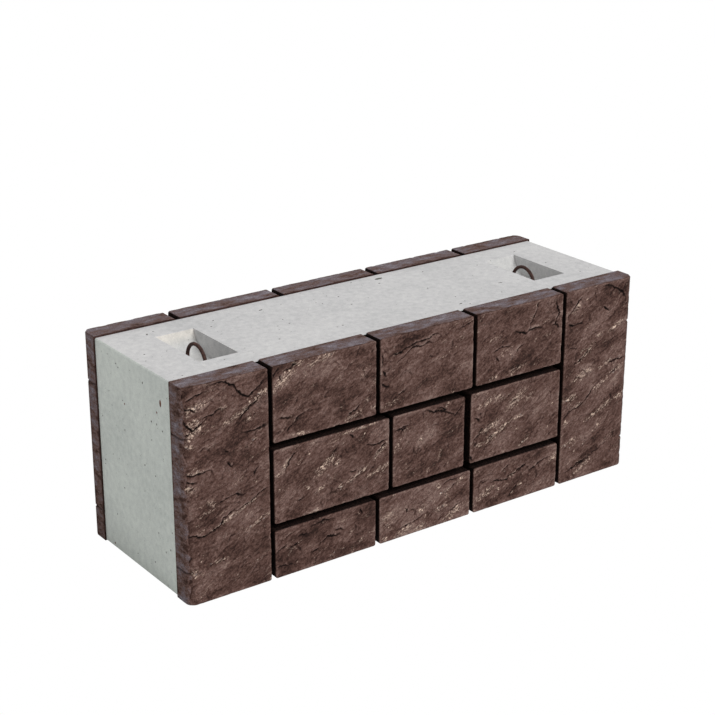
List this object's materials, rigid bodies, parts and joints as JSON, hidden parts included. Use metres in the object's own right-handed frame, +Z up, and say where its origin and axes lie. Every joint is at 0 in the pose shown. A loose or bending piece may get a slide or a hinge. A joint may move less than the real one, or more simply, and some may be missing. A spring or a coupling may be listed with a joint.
{
  "type": "double-sided wall block",
  "caption": "Long concrete wall block faced on both sides with rough dark stones in open joints, with lifting loops set in pockets in its top.",
  "frame": {"origin": "under the middle of the block, on the level that it stands on", "axes": "+X along the wall, +Y from the front facing to the back facing, +Z up"},
  "size_m": [1.5, 0.518, 0.59],
  "materials": {
    "concrete": "matte",
    "facing_stone": "rough",
    "loop_steel": "rusted"
  },
  "bodies": {
    "root": {"concrete_core": "concrete", "front_left_tall_stone": "facing_stone", "front_right_tall_stone": "facing_stone", "front_bottom_stone_1": "facing_stone", "front_bottom_stone_2": "facing_stone", "front_bottom_stone_3": "facing_stone", "front_middle_stone_1": "facing_stone", "front_middle_stone_2": "facing_stone", "front_middle_stone_3": "facing_stone", "front_top_stone_1": "facing_stone", "front_top_stone_2": "facing_stone", "front_top_stone_3": "facing_stone", "back_left_tall_stone": "facing_stone", "back_right_tall_stone": "facing_stone", "back_bottom_stone_1": "facing_stone", "back_bottom_stone_2": "facing_stone", "back_bottom_stone_3": "facing_stone", "back_middle_stone_1": "facing_stone", "back_middle_stone_2": "facing_stone", "back_middle_stone_3": "facing_stone", "back_top_stone_1": "facing_stone", "back_top_stone_2": "facing_stone", "back_top_stone_3": "facing_stone", "left_lifting_loop": "loop_steel", "right_lifting_loop": "loop_steel"}
  },
  "joints": []
}
